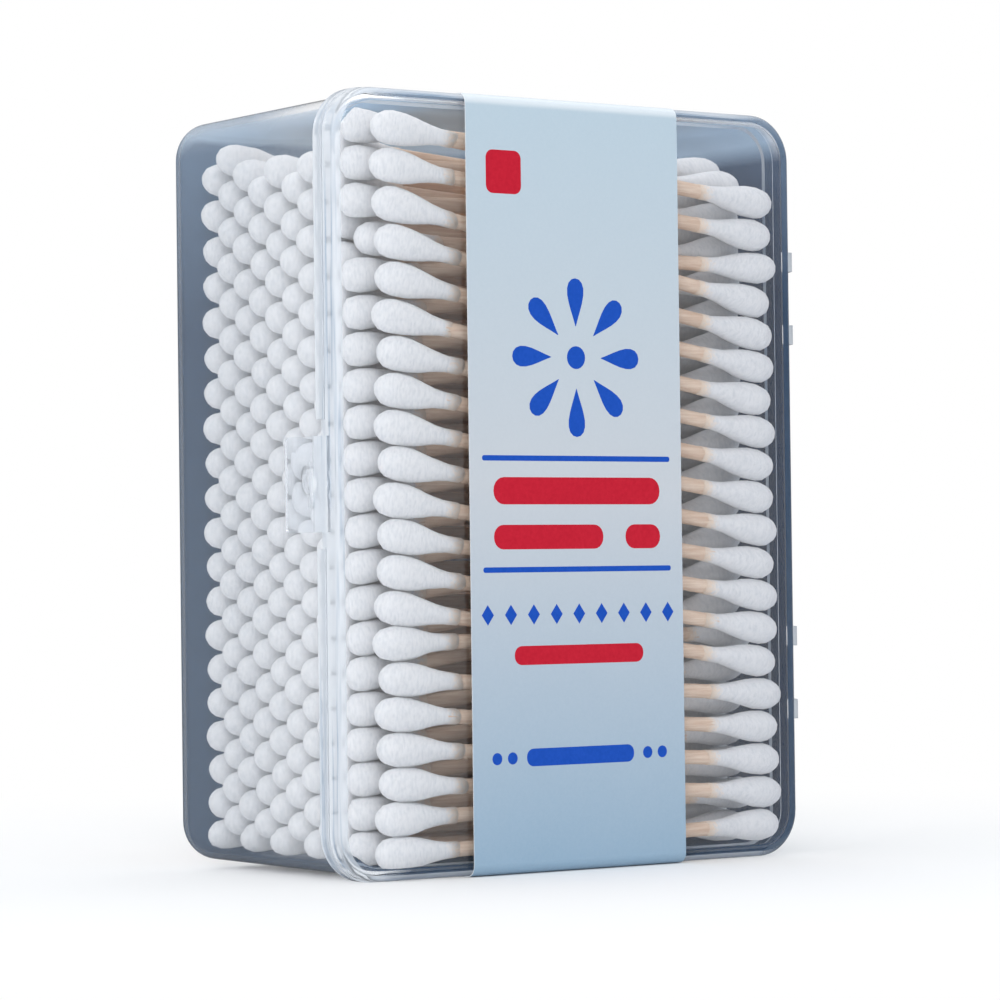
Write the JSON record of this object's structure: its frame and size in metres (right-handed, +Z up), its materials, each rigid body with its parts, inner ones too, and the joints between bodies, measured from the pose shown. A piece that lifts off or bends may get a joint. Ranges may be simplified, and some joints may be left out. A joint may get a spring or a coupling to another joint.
{
  "type": "cotton swab box",
  "caption": "Clear hinged plastic box that stands on its short side, full of cotton swabs on wooden sticks, with a paper label round the lid.",
  "frame": {"origin": "under the middle of the whole box, on the surface that it stands on", "axes": "+Z up along the box's long side, +Y from the lid towards the tray's back, +X from the clasp towards the hinges"},
  "size_m": [0.0882, 0.0472, 0.1145],
  "materials": {
    "clear_plastic": "clear moulded polystyrene, glossy",
    "label_paper": "satin coated paper with a printed tint",
    "wood_stick": "bare fine-grained wood",
    "cotton": "matt wound cotton fibre"
  },
  "bodies": {
    "tray_with_swabs": {"tray": "clear_plastic", "sticks_01": "wood_stick", "sticks_02": "wood_stick", "sticks_03": "wood_stick", "sticks_04": "wood_stick", "sticks_05": "wood_stick", "sticks_06": "wood_stick", "sticks_07": "wood_stick", "sticks_08": "wood_stick", "sticks_09": "wood_stick", "sticks_10": "wood_stick", "cotton_left_01": "cotton", "cotton_left_02": "cotton", "cotton_left_03": "cotton", "cotton_left_04": "cotton", "cotton_left_05": "cotton", "cotton_left_06": "cotton", "cotton_left_07": "cotton", "cotton_left_08": "cotton", "cotton_left_09": "cotton", "cotton_left_10": "cotton", "cotton_right_01": "cotton", "cotton_right_02": "cotton", "cotton_right_03": "cotton", "cotton_right_04": "cotton", "cotton_right_05": "cotton", "cotton_right_06": "cotton", "cotton_right_07": "cotton", "cotton_right_08": "cotton", "cotton_right_09": "cotton", "cotton_right_10": "cotton"},
    "lid_with_label": {"lid": "clear_plastic", "label": "label_paper"}
  },
  "joints": [
    {"name": "lid_hinge", "type": "hinge", "parent": "tray_with_swabs", "child": "lid_with_label", "pos_m": [0.04315, -0.0183, 0.05725], "axis": [0, 0, 1], "range_deg": [0, 180]}
  ]
}
